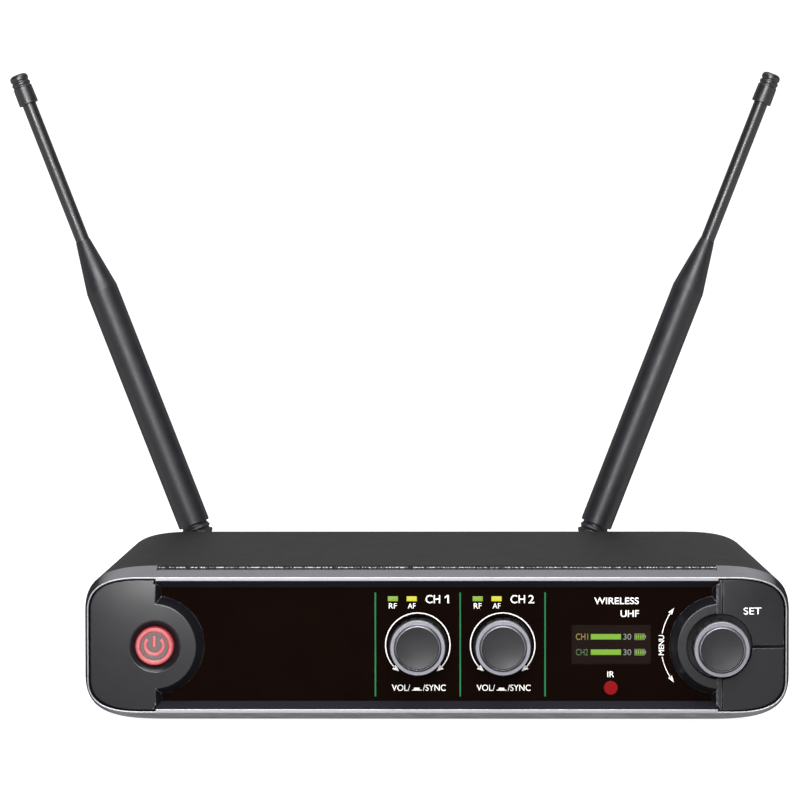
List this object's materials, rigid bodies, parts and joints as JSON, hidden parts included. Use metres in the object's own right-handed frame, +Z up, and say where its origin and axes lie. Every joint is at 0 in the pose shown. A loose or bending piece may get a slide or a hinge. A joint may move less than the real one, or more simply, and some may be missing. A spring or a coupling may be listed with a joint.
{
  "type": "wireless microphone receiver",
  "caption": "Half-rack wireless microphone receiver with push-turn volume knobs, a menu knob, keys, display and swivelling, folding whip antennas at the rear.",
  "frame": {"origin": "centre of the case's footprint, in the plane of the feet's undersides", "axes": "+Z up, +Y from the front panel to the rear, +X to the right as seen from the front"},
  "size_m": [0.2643, 0.1919, 0.2039],
  "materials": {
    "cover_paint": "satin black powder coat",
    "bezel_paint": "satin metallic grey",
    "zinc_steel": "zinc plated",
    "black_plate": "black e-coat",
    "black_screws": "black oxide",
    "fascia_gloss": "high gloss black",
    "cap_plastic": "fine textured black",
    "key_plastic": "fine textured black",
    "ir_lens": "deep red translucent",
    "display_glass": "gloss",
    "rf_lens_green": "lit green",
    "af_lens_yellow": "lit yellow",
    "button_red": "translucent red",
    "button_grey": "satin",
    "circuit_board": "solder mask green",
    "board_parts": "mixed component finishes",
    "socket_plastic": "moulded black",
    "contact_metal": "bright plated",
    "white_insulator": "white moulded",
    "coax_jacket": "black jacket",
    "knob_plastic": "satin black",
    "knob_metal": "satin",
    "shaft_steel": "bright",
    "rotor_plastic": "moulded",
    "foot_rubber": "matt",
    "nut_nickel": "dark nickel",
    "antenna_plastic": "satin black",
    "whip_rubber": "satin black"
  },
  "bodies": {
    "root": {"top_cover": "cover_paint", "bottom_chassis": "cover_paint", "rear_panel": "cover_paint", "front_bezel": "bezel_paint", "front_subpanel": "black_plate", "tuner_shield_cans": "zinc_steel", "nuts": "zinc_steel", "inner_screws": "zinc_steel", "antenna_sockets": "zinc_steel", "case_screws": "black_screws", "fascia_window": "fascia_gloss", "power_end_cap": "cap_plastic", "menu_end_cap": "cap_plastic", "ir_window": "ir_lens", "display_module": "display_glass", "rf_led_lenses": "rf_lens_green", "af_led_lenses": "af_lens_yellow", "front_board": "circuit_board", "main_board": "circuit_board", "connector_board": "circuit_board", "board_capacitors": "board_parts", "board_chips": "board_parts", "key_switches": "board_parts", "encoder_bodies": "board_parts", "ribbon_cable": "board_parts", "xlr_sockets": "socket_plastic", "mix_jack": "socket_plastic", "dc_jack": "socket_plastic", "connector_pins": "contact_metal", "antenna_insulators": "white_insulator", "antenna_coax": "coax_jacket", "feet": "foot_rubber", "antenna_plug_nuts": "nut_nickel"},
    "volume_1_turn": {"volume_1_rotor": "rotor_plastic"},
    "volume_1_knob": {"volume_1_knob": "knob_plastic", "volume_1_ring": "knob_metal", "volume_1_shaft": "shaft_steel"},
    "volume_2_turn": {"volume_2_rotor": "rotor_plastic"},
    "volume_2_knob": {"volume_2_knob": "knob_plastic", "volume_2_ring": "knob_metal", "volume_2_shaft": "shaft_steel"},
    "menu_knob": {"menu_knob": "knob_plastic", "menu_ring": "knob_metal", "menu_shaft": "shaft_steel"},
    "power_button": {"power_button_cap": "button_grey", "power_button_lens": "button_red"},
    "set_key": {"set_key": "key_plastic"},
    "lower_key": {"lower_key": "key_plastic"},
    "left_antenna_swivel": {"left_knuckle": "antenna_plastic", "left_elbow_pin": "shaft_steel"},
    "left_antenna": {"left_collar": "antenna_plastic", "left_sleeve": "antenna_plastic", "left_whip": "whip_rubber", "left_tip_cap": "whip_rubber"},
    "right_antenna_swivel": {"right_knuckle": "antenna_plastic", "right_elbow_pin": "shaft_steel"},
    "right_antenna": {"right_collar": "antenna_plastic", "right_sleeve": "antenna_plastic", "right_whip": "whip_rubber", "right_tip_cap": "whip_rubber"}
  },
  "joints": [
    {"name": "volume_1_turn", "type": "hinge", "parent": "root", "child": "volume_1_turn", "pos_m": [-0.0056, -0.075, 0.0246], "axis": [0, 1, 0], "continuous": true},
    {"name": "volume_1_push", "type": "slide", "parent": "volume_1_turn", "child": "volume_1_knob", "axis": [0, 1, 0], "range_m": [0, 0.0008], "stiffness_N_per_m": 4000},
    {"name": "volume_2_turn", "type": "hinge", "parent": "root", "child": "volume_2_turn", "pos_m": [0.0196, -0.075, 0.0246], "axis": [0, 1, 0], "continuous": true},
    {"name": "volume_2_push", "type": "slide", "parent": "volume_2_turn", "child": "volume_2_knob", "axis": [0, 1, 0], "range_m": [0, 0.0008], "stiffness_N_per_m": 4000},
    {"name": "menu_turn", "type": "hinge", "parent": "root", "child": "menu_knob", "pos_m": [0.0837, -0.075, 0.0246], "axis": [0, 1, 0], "continuous": true},
    {"name": "power_button_push", "type": "slide", "parent": "root", "child": "power_button", "axis": [0, 1, 0], "range_m": [0, 0.001], "stiffness_N_per_m": 1800},
    {"name": "set_key_push", "type": "slide", "parent": "root", "child": "set_key", "axis": [0, 1, 0], "range_m": [0, 0.0006], "stiffness_N_per_m": 2500},
    {"name": "lower_key_push", "type": "slide", "parent": "root", "child": "lower_key", "axis": [0, 1, 0], "range_m": [0, 0.0006], "stiffness_N_per_m": 2500},
    {"name": "left_antenna_swivel", "type": "hinge", "parent": "root", "child": "left_antenna_swivel", "pos_m": [-0.0754, 0.1005, 0.0269], "axis": [0, 1, 0], "range_deg": [-68, 36]},
    {"name": "left_antenna_fold", "type": "hinge", "parent": "left_antenna_swivel", "child": "left_antenna", "pos_m": [-0.0754, 0.1005, 0.0269], "axis": [-0.9317, 0, -0.3633], "range_deg": [0, 90]},
    {"name": "right_antenna_swivel", "type": "hinge", "parent": "root", "child": "right_antenna_swivel", "pos_m": [0.0463, 0.1005, 0.0269], "axis": [0, 1, 0], "range_deg": [-36, 68]},
    {"name": "right_antenna_fold", "type": "hinge", "parent": "right_antenna_swivel", "child": "right_antenna", "pos_m": [0.0463, 0.1005, 0.0269], "axis": [-0.9317, 0, 0.3633], "range_deg": [0, 90]}
  ]
}
